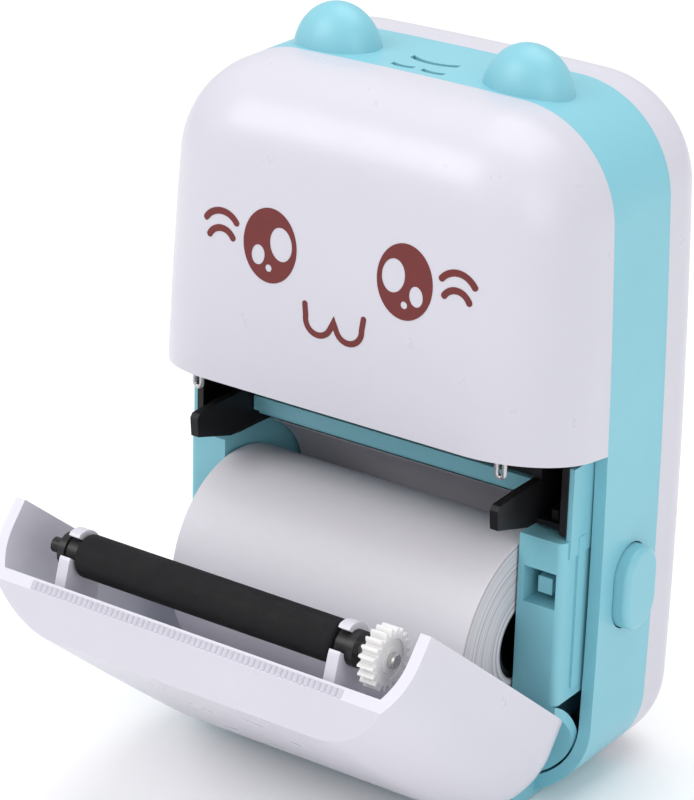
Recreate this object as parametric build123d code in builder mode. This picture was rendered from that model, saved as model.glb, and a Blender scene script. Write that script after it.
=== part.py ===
"""Pocket thermal printer with ears, built as one assembly of separate parts.

Frame: X right, Y to the back, Z up, millimetres. The origin is on the base.
The paper door is drawn open, lying on its stop.  Its parts are designed in the
closed position and are then turned about the hinge line by DOOR_OPEN degrees.
"""
import os
from math import acos, asin, atan2, cos, degrees, pi, radians, sin, sqrt, tan
from build123d import *

os.makedirs("parts", exist_ok=True)

# ---------------------------------------------------------------- main sizes
RIM_Y = -5.0          # plane between the front cover or door and the frame
BACK_Y = 12.0         # plane between the frame and the back cover
REAR_Y = 25.0         # rearmost face of the back cover
TOP_Z = 117.3         # top of the case, without the ears
CORNER_TOP = 17.5
CORNER_LOW = 15.0
FRONT_ROUND = 14.6    # rounding between the front face and the sides
REAR_ROUND = 8.5
WALL = 1.9            # front cover and door
FRAME_WALL = 2.2
GAP = 0.3             # free gap between parts that move past each other
SPLIT_Z = 65.9        # lower edge of the cover at its front
SPLIT_SLOPE = 0.152   # how the cover's lower edge falls towards the frame

# door hinge line, parallel to X, and the opening angle in the drawn pose
HINGE_Y = -18.8
HINGE_Z = 7.0
DOOR_OPEN = 52.0
DOOR_SWEEP_R = 13.5   # door parts below the hinge stay inside this radius
NOSE_R = 3.2
NOSE_HALF = 30.0      # half length of the hinge nose on the frame

# platen roller, in the closed position
PLATEN_Y = -10.1
PLATEN_Z = 59.2
PLATEN_R = 3.5
SHAFT_R = 1.25

# paper roll
ROLL_X = -0.35        # the roll sits a little off the middle of the case
ROLL_Y = -9.4
ROLL_Z = 29.3
ROLL_R = 18.0
ROLL_HALF = 28.5
ROLL_SHIFT = 4.7      # the closing door pushes the roll back by this much
CORE_R = 6.5

# paper bay
BAY_LEFT = 29.3       # inner faces of the two cheeks
BAY_RIGHT = 28.6
CHEEK_Y = -12.3
CHEEK_OUT = 36.7

# gears
MODULE = 0.45
PRESSURE = radians(25.0)
PLAY = 0.08
GEAR_X = 30.4         # inner face of the gear layer shared with the platen
GEAR2_X = 32.4        # inner face of the outer gear layer
TEETH_PLATEN = 20
TEETH_DRIVE = 24
TEETH_IDLER = 12
TEETH_WHEEL = 30
TEETH_PINION = 10
DRIVE_Y = -1.1
DRIVE_Z = 65.5
IDLER_Y = -2.0
MOTOR_Y = 0.3


def centre_distance(a, b):
    """Axis distance of two meshed gears, with a little extra room."""
    return MODULE * (a + b) / 2 + 0.04


IDLER_Z = DRIVE_Z + sqrt(centre_distance(TEETH_DRIVE, TEETH_IDLER) ** 2 - (IDLER_Y - DRIVE_Y) ** 2)
MOTOR_Z = IDLER_Z + sqrt(centre_distance(TEETH_WHEEL, TEETH_PINION) ** 2 - (MOTOR_Y - IDLER_Y) ** 2)


# main board, upright behind the print head
BOARD_Y = 9.4
BOARD_T = 1.6


# ---------------------------------------------------------------- helpers
def front_view(y):
    """Sketch plane seen from the front; extrusion runs towards the front."""
    return Plane.XZ.offset(-y)


def side_view(x):
    """Sketch plane with local Y, Z; extrusion runs towards +X."""
    return Plane.YZ.offset(x)


def open_door(shape):
    """Turn a part designed closed into the drawn, open position."""
    hinge = Axis((0, HINGE_Y, HINGE_Z), (1, 0, 0))
    return shape.rotate(hinge, DOOR_OPEN)


def save(shape, name):
    shape.label = name
    export_step(shape, "parts/" + name + ".step")


def circle_through(a, b, c):
    """Centre and radius of the circle through three points."""
    d = 2 * (a[0] * (b[1] - c[1]) + b[0] * (c[1] - a[1]) + c[0] * (a[1] - b[1]))
    qa = a[0] ** 2 + a[1] ** 2
    qb = b[0] ** 2 + b[1] ** 2
    qc = c[0] ** 2 + c[1] ** 2
    x = (qa * (b[1] - c[1]) + qb * (c[1] - a[1]) + qc * (a[1] - b[1])) / d
    y = (qa * (c[0] - b[0]) + qb * (a[0] - c[0]) + qc * (b[0] - a[0])) / d
    return x, y, sqrt((a[0] - x) ** 2 + (a[1] - y) ** 2)


SIDE_ARC = circle_through((38.9, 0), (39.6, 42), (37.2, TOP_Z - 0.7))
TOP_ARC = circle_through((37.2, TOP_Z - 0.7), (0, TOP_Z), (-37.2, TOP_Z - 0.7))


def side_x(z, inset=0.0):
    """Half width of the case at height z."""
    x, y, r = SIDE_ARC
    return x + sqrt((r - inset) ** 2 - (z - y) ** 2)


def corner_point(inset):
    """Where the bowed side would meet the bowed top without the corner round."""
    x, y, r1 = SIDE_ARC
    top_y, r2 = TOP_ARC[1], TOP_ARC[2]
    r1 = r1 - inset
    r2 = r2 - inset
    dist = sqrt(x ** 2 + (y - top_y) ** 2)
    along = (dist ** 2 + r1 ** 2 - r2 ** 2) / (2 * dist)
    high = sqrt(r1 ** 2 - along ** 2)
    ux, uy = -x / dist, (top_y - y) / dist
    first = (x + along * ux - high * uy, y + along * uy + high * ux)
    second = (x + along * ux + high * uy, y + along * uy - high * ux)
    return first if first[0] > 0 and first[1] > second[1] or second[0] < 0 else second


def outline(inset=0.0):
    """Case outline seen from the front: slightly bowed sides, round corners."""
    low_x = side_x(inset, inset)
    high_x, high_z = corner_point(inset)
    mid_x = side_x(42, inset)
    with BuildSketch() as sk:
        with BuildLine():
            Line((-low_x, inset), (low_x, inset))
            ThreePointArc((low_x, inset), (mid_x, 42), (high_x, high_z))
            ThreePointArc((high_x, high_z), (0, TOP_Z - inset), (-high_x, high_z))
            ThreePointArc((-high_x, high_z), (-mid_x, 42), (-low_x, inset))
        make_face()
        fillet(sk.vertices().sort_by(Axis.Y)[:2], CORNER_LOW - inset)
        fillet(sk.vertices().sort_by(Axis.Y)[-2:], CORNER_TOP - inset)
    return sk.sketch


def crown_tool(inset):
    """Everything in front of the gently leaning front face."""
    with BuildPart() as tool:
        with BuildSketch(side_view(-60)):
            with BuildLine():
                ThreePointArc((-21.3 + inset, 130), (-24.5 + inset, 60), (-25.2 + inset, -10))
                Line((-25.2 + inset, -10), (-50, -10))
                Line((-50, -10), (-50, 130))
                Line((-50, 130), (-21.3 + inset, 130))
            make_face()
        extrude(amount=120)
    return tool.part


def front_body(inset, back):
    """Solid front half of the case, used for the cover and the door."""
    with BuildPart() as body:
        with BuildSketch(front_view(back)):
            add(outline(inset))
        extrude(amount=back + 31)
        add(crown_tool(inset), mode=Mode.SUBTRACT)
        front_edges = body.edges().filter_by_position(Axis.Y, -40, -19)
        fillet(front_edges, FRONT_ROUND - inset)
    return body.part


def slab(plane_y1, z1, plane_y2, z2, height):
    """Wide prism above the line (y1, z1)-(y2, z2), used to trim edges."""
    with BuildPart() as tool:
        with BuildSketch(side_view(-60)):
            with BuildLine():
                Polyline((plane_y1, z1), (plane_y2, z2), (plane_y2, z2 + height),
                         (plane_y1, z1 + height), close=True)
            make_face()
        extrude(amount=120)
    return tool.part


def rod(p, r, length, axis="X"):
    """Round rod starting at p and running along +X, +Y or +Z."""
    turn = {"X": (0, 90, 0), "Y": (-90, 0, 0), "Z": (0, 0, 0)}[axis]
    shape = Cylinder(r, length, align=(Align.CENTER, Align.CENTER, Align.MIN))
    return Pos(*p) * (Rot(*turn) * shape)


def tube(p, r_out, r_in, length, axis="X"):
    return rod(p, r_out, length, axis) - rod(p, r_in, length, axis)


def block(x1, x2, y1, y2, z1, z2):
    """Plain box between two corners, for cutting and for small details."""
    size = Box(x2 - x1, y2 - y1, z2 - z1, align=(Align.MIN, Align.MIN, Align.MIN))
    return Pos(x1, y1, z1) * size


def both_sides(shape):
    """A shape and its mirror image on the other side."""
    return shape + mirror(shape, about=Plane.YZ)


def profile(points, x, length):
    """Extrude a side-view polygon from x along +X."""
    with BuildPart() as part:
        with BuildSketch(side_view(x)):
            with BuildLine():
                Polyline(*points, close=True)
            make_face()
        extrude(amount=length)
    return part.part


def gear_points(teeth, phase):
    """Involute tooth outline about the origin; phase in radians."""
    pitch_r = MODULE * teeth / 2
    base_r = pitch_r * cos(PRESSURE)
    tip_r = pitch_r + 0.92 * MODULE
    root_r = pitch_r - 1.2 * MODULE
    half = pi / (2 * teeth) - PLAY / (4 * pitch_r)
    start = max(base_r, root_r + 0.02)

    def flank(r):
        a = acos(min(1.0, base_r / r))
        return half + tan(PRESSURE) - PRESSURE - tan(a) + a

    points = []
    steps = 4
    for n in range(teeth):
        mid = phase + 2 * pi * n / teeth
        side = []
        side.append((root_r, min(flank(start) + 0.02, pi / teeth * 0.96)))
        for k in range(steps + 1):
            r = start + (tip_r - start) * k / steps
            side.append((r, flank(r)))
        for r, a in side:
            points.append((r * cos(mid - a), r * sin(mid - a)))
        for r, a in reversed(side):
            points.append((r * cos(mid + a), r * sin(mid + a)))
    return points


def spur_gear(teeth, phase, y, z, x, width, bore):
    """Spur gear whose axis is parallel to X."""
    with BuildPart() as gear:
        with BuildSketch(side_view(x)):
            with Locations((y, z)):
                with BuildLine():
                    Polyline(*[(y + a, z + b) for a, b in gear_points(teeth, phase)], close=True)
            make_face()
        extrude(amount=width)
    return gear.part - rod((x - 1, y, z), bore, width + 2)


def coil(p, radius, wire, pitch, height, direction=(0, 0, 1)):
    """Round-wire compression spring."""
    with BuildPart() as spring:
        with BuildLine() as path:
            Helix(pitch, height, radius, center=p, direction=direction)
        start = path.line
        with BuildSketch(Plane(origin=start @ 0, z_dir=start % 0)):
            Circle(wire)
        sweep(is_frenet=True)
    return spring.part


# ---------------------------------------------------------------- case: frame
def ring(y1, y2, inset_out, inset_in):
    """Case wall between two planes, following the outline."""
    with BuildPart() as part:
        with BuildSketch(front_view(y2)):
            add(outline(inset_out))
            add(outline(inset_in), mode=Mode.SUBTRACT)
        extrude(amount=y2 - y1)
    return part.part


EAR_X = 17.9
EAR_Y = 1.4
EAR_Z = 115.2


def ear(x):
    dome = scale(Sphere(1), by=(7.8, 6.0, 8.7))
    return Pos(x, EAR_Y, EAR_Z) * dome


sweep_zone = rod((-60, HINGE_Y, HINGE_Z), DOOR_SWEEP_R + GAP, 120)
sweep_zone = sweep_zone & block(-60, 60, -40, 10, -1, HINGE_Z)

frame_wall = ring(RIM_Y, BACK_Y, 0, FRAME_WALL)
# the lower corners reach forward to the swept arc of the door
low_corner = ring(-16, RIM_Y, 0, FRAME_WALL) & block(-60, 60, -16, RIM_Y, -1, HINGE_Z)
frame_wall = frame_wall + low_corner - sweep_zone
# inner lips: the front cover and the door flanges sit around these
lip = ring(-7.2, 0, FRAME_WALL + GAP, FRAME_WALL + GAP + 1.0)
cover_lip = lip & block(-60, 60, -20, 20, 66.5, 130)
lip_join = ring(-2.5, 0, FRAME_WALL - 0.4, FRAME_WALL + GAP + 1.0) & block(-60, 60, -20, 20, 66.5, 130)
frame_wall = frame_wall + cover_lip + lip_join

# bottom tongue with the round hinge nose
with BuildPart() as tongue:
    with BuildSketch(side_view(-NOSE_HALF)):
        with BuildLine():
            Polyline((-18.8, 10.2), (-17.2, 9.7), (-14.6, 7.4), (RIM_Y + 2, 7.4), (RIM_Y + 2, 0), (-16.1, 0))
            ThreePointArc((-16.1, 0), (-13.98, 1.25), (-12.4, 3.2))
            Polyline((-12.4, 3.2), (-15.0, 5.5), (-18.8, 3.8), (-18.8, 10.2))
        make_face()
        with Locations((HINGE_Y, HINGE_Z)):
            Circle(NOSE_R)
    extrude(amount=2 * NOSE_HALF)
tongue_body = tongue.part - block(-NOSE_HALF + 3, NOSE_HALF - 3, -12.0, 0, -1, 5.2)
tongue_body = tongue_body + block(-NOSE_HALF, NOSE_HALF, -12.6, -3, 0, 1.8)
pin_bore = rod((-60, HINGE_Y, HINGE_Z), 1.23, 120) - rod((-24, HINGE_Y, HINGE_Z), 2, 48)
tongue_body = tongue_body - pin_bore

frame = frame_wall + tongue_body + ear(-EAR_X) + ear(EAR_X)

# cut the ears back inside the case
ear_inside = block(9.5, 25.0, -4.9, 11.9, 95, 114.4)
frame = frame - ear_inside - mirror(ear_inside, about=Plane.YZ)
# three curved slots on top, two short ones in front and one long one behind
slot_short_a = tube((-2.8, 2.1, 100), 5.5, 4.5, 40, "Z") & block(-4.9, -0.7, -3.6, -1.9, 100, 130)
slot_short_b = tube((2.8, 2.1, 100), 5.5, 4.5, 40, "Z") & block(0.7, 4.9, -3.6, -1.9, 100, 130)
slot_long = tube((0, 9.2, 100), 8.6, 7.5, 40, "Z") & block(-4.4, 4.4, 0.3, 4, 100, 130)
frame = frame - slot_short_a - slot_short_b - slot_long

# openings in the side walls
BUTTON_Y = 4.0
BUTTON_Z = 37.4
BUTTON_W = 9.6
BUTTON_H = 14.4


def button_face(grow):
    with BuildSketch() as sk:
        SlotCenterToCenter(BUTTON_H - BUTTON_W, BUTTON_W + 2 * grow, rotation=90)
    return sk.sketch


def button_solid(grow, x, length):
    with BuildPart() as part:
        with BuildSketch(side_view(x)):
            with Locations((BUTTON_Y, BUTTON_Z)):
                add(button_face(grow))
        extrude(amount=length)
    return part.part


USB_Y = 7.7
POWER_Y = 4.6
USB_Z = 79.0
POWER_Z = 94.0
usb_hole = block(-60, -30, USB_Y - 1.8, USB_Y + 1.8, USB_Z - 4.8, USB_Z + 4.8)
frame = frame - button_solid(0.25, 30, 30) - usb_hole
frame = frame - rod((-60, POWER_Y, POWER_Z), 3.25, 25) - rod((-60, POWER_Y, POWER_Z - 7.5), 0.95, 25)
save(frame, "middle_frame")

# ---------------------------------------------------------------- front cover
outer_front = front_body(0, RIM_Y)
inner_front = front_body(WALL, RIM_Y)
above_split = slab(-45, SPLIT_Z + 20.3 * SPLIT_SLOPE, 20, SPLIT_Z - 44.7 * SPLIT_SLOPE, 80)
cover = (outer_front - inner_front) & above_split
# two screw posts hang from the inside of the face
SCREW_TOP_X = 27.5
SCREW_TOP_Z = 101.0
SCREW_LOW_X = 32.9
SCREW_LOW_Z = 24.0
cover_post = rod((SCREW_TOP_X, -23.0, SCREW_TOP_Z), 3.0, 18.1, "Y") & front_body(0.9, RIM_Y)
cover_post = cover_post + rod((SCREW_TOP_X, RIM_Y - 0.1, SCREW_TOP_Z), 3.0, BOARD_Y - RIM_Y + 0.1, "Y")
cover_post = cover_post - rod((SCREW_TOP_X, -4, SCREW_TOP_Z), 1.0, 30, "Y")
cover = cover + both_sides(cover_post)
save(cover, "front_cover")

# printed face: thin ink layer lying exactly on the cover
INK = 0.06
EYE_X = 12.68
EYE_Z = 91.0
WHISKERS = (((19.3, 93.2), (22.3, 94.6), (25.2, 93.0)),
            ((19.9, 90.6), (22.1, 91.8), (24.4, 90.4)))
with BuildPart() as ink_block:
    with BuildSketch(front_view(-10)):
        for side in (-1, 1):
            with Locations((side * EYE_X, EYE_Z)):
                Ellipse(5.1, 6.1)
            with Locations((side * (EYE_X - 2.1), EYE_Z + 0.6)):
                Ellipse(2.1, 2.75, rotation=-8 * side, mode=Mode.SUBTRACT)
            with Locations((side * (EYE_X + 2.2), EYE_Z - 1.9)):
                Ellipse(1.25, 1.65, rotation=6 * side, mode=Mode.SUBTRACT)
            with Locations((side * (EYE_X + 0.1), EYE_Z - 3.7)):
                Circle(0.6, mode=Mode.SUBTRACT)
    extrude(amount=20)
    # mouth: two joined cups
    with BuildSketch(front_view(-10)) as mouth:
        with BuildLine() as mouth_line:
            left_cup = ThreePointArc((-5.3, 81.3), (-2.9, 78.6), (-0.6, 80.1))
            right_cup = ThreePointArc((0.6, 80.1), (2.9, 78.6), (5.3, 81.3))
            Line((-5.55, 83.2), (-5.3, 81.3))
            Line((-0.6, 80.1), (0, 81.3))
            Line((0, 81.3), (0.6, 80.1))
            Line((5.3, 81.3), (5.55, 83.2))
        trace(line_width=1.0)
        with Locations((-5.55, 83.2), (5.55, 83.2)):
            Circle(0.5)
    extrude(amount=20)
    # two whisker strokes beside each eye
    for side in (-1, 1):
        for ends in WHISKERS:
            with BuildSketch(front_view(-10)) as stroke:
                with BuildLine() as stroke_line:
                    ThreePointArc(*[(side * x, z) for x, z in ends])
                trace(line_width=1.1)
                with Locations(*[(side * x, z) for x, z in (ends[0], ends[2])]):
                    Circle(0.55)
            extrude(amount=20)
shifted = Pos(0, -INK, 0) * outer_front
ink = (ink_block.part & shifted) - outer_front
save(ink, "face_print")

# ---------------------------------------------------------------- back cover
with BuildPart() as back_outer:
    with BuildSketch(front_view(REAR_Y)):
        add(outline())
    extrude(amount=REAR_Y - BACK_Y)
    fillet(back_outer.edges().filter_by_position(Axis.Y, REAR_Y - 0.1, REAR_Y + 0.1), REAR_ROUND)
with BuildPart() as back_inner:
    with BuildSketch(front_view(REAR_Y - 2.0)):
        add(outline(2.0))
    extrude(amount=REAR_Y - 2.0 - BACK_Y)
    fillet(back_inner.edges().filter_by_position(Axis.Y, REAR_Y - 2.1, REAR_Y - 1.9), REAR_ROUND - 2.0)
back = back_outer.part - back_inner.part
back_post_top = rod((SCREW_TOP_X, BOARD_Y + BOARD_T, SCREW_TOP_Z), 3.4, 12.4, "Y")
back_post_low = rod((SCREW_LOW_X, BACK_Y, SCREW_LOW_Z), 3.4, 11.4, "Y")
back_posts = back_post_top + back_post_low
back = back + both_sides(back_posts)
screw_wells = rod((SCREW_TOP_X, 21.0, SCREW_TOP_Z), 2.55, 6, "Y")
screw_wells = screw_wells + rod((SCREW_LOW_X, 21.0, SCREW_LOW_Z), 2.55, 6, "Y")
screw_wells = screw_wells + rod((SCREW_TOP_X, 5, SCREW_TOP_Z), 1.05, 20, "Y")
screw_wells = screw_wells + rod((SCREW_LOW_X, 5, SCREW_LOW_Z), 1.05, 20, "Y")
back = back - both_sides(screw_wells)
save(back, "back_cover")

# ---------------------------------------------------------------- case screws


def screw(x, y_head, z, shank):
    """Pan-head cross-recess screw driven from the back."""
    head = rod((x, y_head, z), 2.3, 1.5, "Y")
    head = fillet(head.edges().filter_by_position(Axis.Y, y_head + 1.4, y_head + 1.6), 0.6)
    cross = block(x - 1.5, x + 1.5, y_head + 0.7, y_head + 2, z - 0.25, z + 0.25)
    cross = cross + block(x - 0.25, x + 0.25, y_head + 0.7, y_head + 2, z - 1.5, z + 1.5)
    body = rod((x, y_head - shank, z), 0.98, shank, "Y")
    return head + body - cross


screws = screw(SCREW_TOP_X, 21.0, SCREW_TOP_Z, 18) + screw(-SCREW_TOP_X, 21.0, SCREW_TOP_Z, 18)
screws = screws + screw(SCREW_LOW_X, 21.0, SCREW_LOW_Z, 14) + screw(-SCREW_LOW_X, 21.0, SCREW_LOW_Z, 14)
save(screws, "case_screws")

# ---------------------------------------------------------------- paper bay
CHEEK_LOW_Z = 21.0
CHEEK_TOP_Z = 49.6
WINDOW = (29.7, 35.6, 38.0, 44.2)
CHEEK_ROUND = 1.3
APRON_X = NOSE_HALF + GAP


def bay_side(inner_x):
    """One cheek of the bay with its inner and outer walls."""
    inner = profile([(CHEEK_Y, 18.0), (CHEEK_Y, CHEEK_TOP_Z), (6.0, CHEEK_TOP_Z), (6.0, 53.6),
                     (11.5, 53.6), (11.5, 12.0), (-4.0, 8.2)], inner_x, 1.5)
    with BuildPart() as shell:
        with BuildSketch(Plane.XY.offset(CHEEK_LOW_Z)):
            with BuildLine():
                corner = CHEEK_ROUND * (1 - sqrt(0.5))
                Line((inner_x, CHEEK_Y), (CHEEK_OUT - CHEEK_ROUND, CHEEK_Y))
                ThreePointArc((CHEEK_OUT - CHEEK_ROUND, CHEEK_Y),
                              (CHEEK_OUT - corner, CHEEK_Y + corner),
                              (CHEEK_OUT, CHEEK_Y + CHEEK_ROUND))
                Polyline((CHEEK_OUT, CHEEK_Y + CHEEK_ROUND), (CHEEK_OUT, -3.3), (CHEEK_OUT - 1.5, -3.3),
                         (CHEEK_OUT - 1.5, CHEEK_Y + 1.5), (inner_x, CHEEK_Y + 1.5), (inner_x, CHEEK_Y))
            make_face()
        extrude(amount=CHEEK_TOP_Z - CHEEK_LOW_Z)
    upper = block(CHEEK_OUT - 0.6, CHEEK_OUT + 0.3, CHEEK_Y + 1.6, RIM_Y + 2, CHEEK_TOP_Z - 3, 62.0)
    step = block(CHEEK_OUT - 0.5, CHEEK_OUT + 0.4, -8.2, -6.2, CHEEK_LOW_Z + 2, CHEEK_TOP_Z)
    low = block(inner_x, CHEEK_OUT - 0.5, CHEEK_Y + 0.5, 0, CHEEK_LOW_Z, CHEEK_LOW_Z + 1.5)
    top = block(inner_x, CHEEK_OUT - 0.5, CHEEK_Y + 0.5, 0, CHEEK_TOP_Z - 1.5, CHEEK_TOP_Z)
    shape = inner + shell.part + step + low + top + upper
    # curved apron behind the swept room of the door's lower corners
    with BuildPart() as room:
        with BuildSketch(front_view(0)):
            add(outline(FRAME_WALL + GAP + 0.1))
        extrude(amount=20)
    apron = tube((APRON_X, HINGE_Y, HINGE_Z), DOOR_SWEEP_R + 2.0, DOOR_SWEEP_R + 0.4, CHEEK_OUT - APRON_X)
    apron = apron & block(APRON_X, CHEEK_OUT, CHEEK_Y, -2, 0, CHEEK_LOW_Z + 1.2)
    shape = shape + (apron & room.part)
    post = rod((SCREW_LOW_X, -9.0, SCREW_LOW_Z), 2.9, 20.7, "Y")
    shape = shape + post - rod((SCREW_LOW_X, 3.0, SCREW_LOW_Z), 1.0, 12, "Y")
    return shape


left_cheek = mirror(bay_side(BAY_LEFT), about=Plane.YZ)
x1, x2, z1, z2 = WINDOW
pocket = block(x1 - 0.6, x2 + 0.5, CHEEK_Y + 0.2, -2.2, z1 - 1.0, z2 + 1.0)
window = block(x1, x2, CHEEK_Y - 1, -3.4, z1, z2)
right_cheek = bay_side(BAY_RIGHT) + pocket - window
right_cheek = right_cheek - block(31.1, 34.5, -4, -1, 39.2, 42.6)
bay = right_cheek + left_cheek
# keep the room swept by the lower corners of the door
bay_relief = rod((30.3, HINGE_Y, HINGE_Z), DOOR_SWEEP_R + GAP, 30)
bay = bay - bay_relief - mirror(bay_relief, about=Plane.YZ)
save(bay, "bay_frame")

BAR_HALF = 28.1       # the crossbar fits between the head plates
TRAY_IN = ROLL_R + 0.4
TRAY_OUT = TRAY_IN + 1.4
TRAY_Y2 = ROLL_Y + ROLL_SHIFT + 0.9
TRAY_BACK = TRAY_Y2 + TRAY_IN
TRAY_FRONT = -14.2
front_in = ROLL_Z - sqrt(TRAY_IN ** 2 - (TRAY_FRONT - ROLL_Y) ** 2)
front_out = ROLL_Z - sqrt(TRAY_OUT ** 2 - (TRAY_FRONT - ROLL_Y) ** 2)
S45 = sqrt(0.5)
with BuildPart() as tray:
    with BuildSketch(side_view(-BAY_LEFT + 0.05)):
        with BuildLine():
            ThreePointArc((TRAY_FRONT, front_out), (-12.0, ROLL_Z - sqrt(TRAY_OUT ** 2 - 2.5 ** 2)),
                          (ROLL_Y, ROLL_Z - TRAY_OUT))
            Line((ROLL_Y, ROLL_Z - TRAY_OUT), (TRAY_Y2, ROLL_Z - TRAY_OUT))
            ThreePointArc((TRAY_Y2, ROLL_Z - TRAY_OUT), (TRAY_Y2 + TRAY_OUT * S45, ROLL_Z - TRAY_OUT * S45),
                          (TRAY_Y2 + TRAY_OUT, ROLL_Z))
            Line((TRAY_Y2 + TRAY_OUT, ROLL_Z), (TRAY_Y2 + TRAY_OUT, 46.0))
            ThreePointArc((TRAY_Y2 + TRAY_OUT, 46.0), (TRAY_Y2 + TRAY_OUT - 2.2, 51.3), (8.0, 53.6))
            Line((8.0, 53.6), (-3.9, 53.6))
            Line((-3.9, 53.6), (-3.9, 52.2))
            Line((-3.9, 52.2), (8.0, 52.2))
            ThreePointArc((8.0, 52.2), (TRAY_BACK - 1.8, 50.3), (TRAY_BACK, 46.0))
            Line((TRAY_BACK, 46.0), (TRAY_BACK, ROLL_Z))
            ThreePointArc((TRAY_BACK, ROLL_Z), (TRAY_Y2 + TRAY_IN * S45, ROLL_Z - TRAY_IN * S45),
                          (TRAY_Y2, ROLL_Z - TRAY_IN))
            Line((TRAY_Y2, ROLL_Z - TRAY_IN), (ROLL_Y, ROLL_Z - TRAY_IN))
            ThreePointArc((ROLL_Y, ROLL_Z - TRAY_IN), (-12.0, ROLL_Z - sqrt(TRAY_IN ** 2 - 2.5 ** 2)),
                          (TRAY_FRONT, front_in))
            Line((TRAY_FRONT, front_in), (TRAY_FRONT, front_out))
        make_face()
    extrude(amount=BAY_LEFT + BAY_RIGHT - 0.1)
crossbar = block(-BAR_HALF, BAR_HALF, -6.0, -3.8, 53.4, 55.9)
crossbar = crossbar + block(-BAR_HALF, BAR_HALF, -4.4, -3.0, 52.2, 54.0)
plate_room = block(BAR_HALF, 40, -14, 7.0, 49.0, 60)
tray_part = tray.part - plate_room - mirror(plate_room, about=Plane.YZ)
save(tray_part + crossbar, "paper_tray")

# ---------------------------------------------------------------- paper
with BuildPart() as roll:
    with BuildSketch(side_view(ROLL_X - ROLL_HALF)):
        with Locations((ROLL_Y, ROLL_Z)):
            Circle(ROLL_R)
            Circle(CORE_R, mode=Mode.SUBTRACT)
    extrude(amount=2 * ROLL_HALF)
    for low_x, high_x in ((-30, ROLL_X - ROLL_HALF + 0.1), (ROLL_X + ROLL_HALF - 0.1, 30)):
        rims = roll.edges().filter_by_position(Axis.X, low_x, high_x)
        fillet(rims.sort_by(SortBy.LENGTH)[-1:], 0.3)
save(roll.part, "paper_roll")
core_part = tube((ROLL_X - ROLL_HALF + 0.5, ROLL_Y, ROLL_Z), CORE_R - 0.05, CORE_R - 1.2, 2 * ROLL_HALF - 1.0)
core_part = core_part + rod((-1, ROLL_Y, ROLL_Z), CORE_R - 1.1, 2)
save(core_part, "paper_core")

# loose end of the strip: rises behind the roll and curls forward
PAPER = 0.12
with BuildPart() as tail:
    with BuildSketch(side_view(ROLL_X - ROLL_HALF + 0.2)):
        with BuildLine() as tail_line:
            Spline((9.0, 30.5), (9.25, 34.2), (8.9, 39.2), (7.2, 43.4), (3.8, 47.0), (-0.6, 49.9))
        trace(line_width=PAPER)
    extrude(amount=2 * ROLL_HALF - 0.4)
TAIL_TEETH = 60
END_Y = -0.6
END_Z = 49.9
with BuildPart() as torn:
    with BuildSketch(Plane(origin=(0, END_Y, END_Z), x_dir=(1, 0, 0), z_dir=(0, 0.64, 0.77))):
        with BuildLine():
            pts = [(-30, -1.0)]
            for n in range(TAIL_TEETH + 1):
                pts.append((-30 + n, 0.75 if n % 2 else 0.0))
            pts.append((30, -1.0))
            Polyline(*pts, close=True)
        make_face()
    extrude(amount=1.0, both=True)
save(tail.part - torn.part, "paper_tail")

# ---------------------------------------------------------------- door
DOOR_TOP_Z = 61.75    # top of the door at the rim
LIP_Y = -18.4         # outer edge of the tear strip
LIP_Z = 62.35
BAND_SLOPE = 0.823    # sloped band between the face and the tear strip
LUG_X = 30.6
ARM_X = 24.6          # inner face of the platen arms
RUBBER_HALF = ARM_X - 0.3

door = outer_front - inner_front
band_out = slab(-45, LIP_Z - (45 + LIP_Y) * BAND_SLOPE, LIP_Y, LIP_Z, 80)
band_in = slab(-45, LIP_Z - 1.7 - (45 + LIP_Y) * BAND_SLOPE, -15, LIP_Z - 1.7 - (15 + LIP_Y) * BAND_SLOPE, 80)
above_door = slab(-45, DOOR_TOP_Z + 40 * 0.045, 20, DOOR_TOP_Z - 25 * 0.045, 80)
door_void = inner_front - band_in
door = outer_front - door_void - band_out - above_door
door = door - block(-60, 60, RIM_Y - GAP, 10, -10, 130)
swing = rod((-60, HINGE_Y, HINGE_Z), DOOR_SWEEP_R, 120)
door = door - (block(-60, 60, HINGE_Y, 10, -5, HINGE_Z) - swing)
door = door - block(-LUG_X, LUG_X, HINGE_Y, 10, -5, HINGE_Z + 3)
inside = front_body(1.0, RIM_Y)
door = door - rod((-LUG_X, HINGE_Y, HINGE_Z), NOSE_R + 0.4, 2 * LUG_X)
lug = rod((LUG_X, HINGE_Y, HINGE_Z), 6.0, 2.4) & inside
door = door + both_sides(lug)

pin_cut = rod((LUG_X - 1, HINGE_Y, HINGE_Z), 1.2, 3.2)
door = door - both_sides(pin_cut)
pusher_pad = block(31.8, 33.8, -26, -12.7, 40.0, 42.0) & inside
boss = rod((-19, -26, 54), 2.2, 7.5, "Y") & inside
boss = boss - rod((-19, -22, 54), 1.0, 8, "Y")
TEAR = (-29.5, 29.5, -18.2, -16.9)
tear_cut = block(TEAR[0], TEAR[1], TEAR[2], TEAR[3], LIP_Z - 1.3, LIP_Z + 2)
door = (door + pusher_pad - tear_cut).solids().sort_by(SortBy.VOLUME)[-1]
save(open_door(door), "door_shell")

arm_points = [(-26, 45.0), (-26, 58.5), (-17.0, 60.6), (-12.6, 62.3), (PLATEN_Y, 62.3),
              (-7.0, 56.3), (-9.2, 55.2)]
arm = profile(arm_points, ARM_X, 2.0)
arm_cap = rod((ARM_X, PLATEN_Y, PLATEN_Z), 3.9, 2.0) & block(20, 30, -20, 0, 50, 62.4)
arm = (arm + arm_cap) & inside

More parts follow.
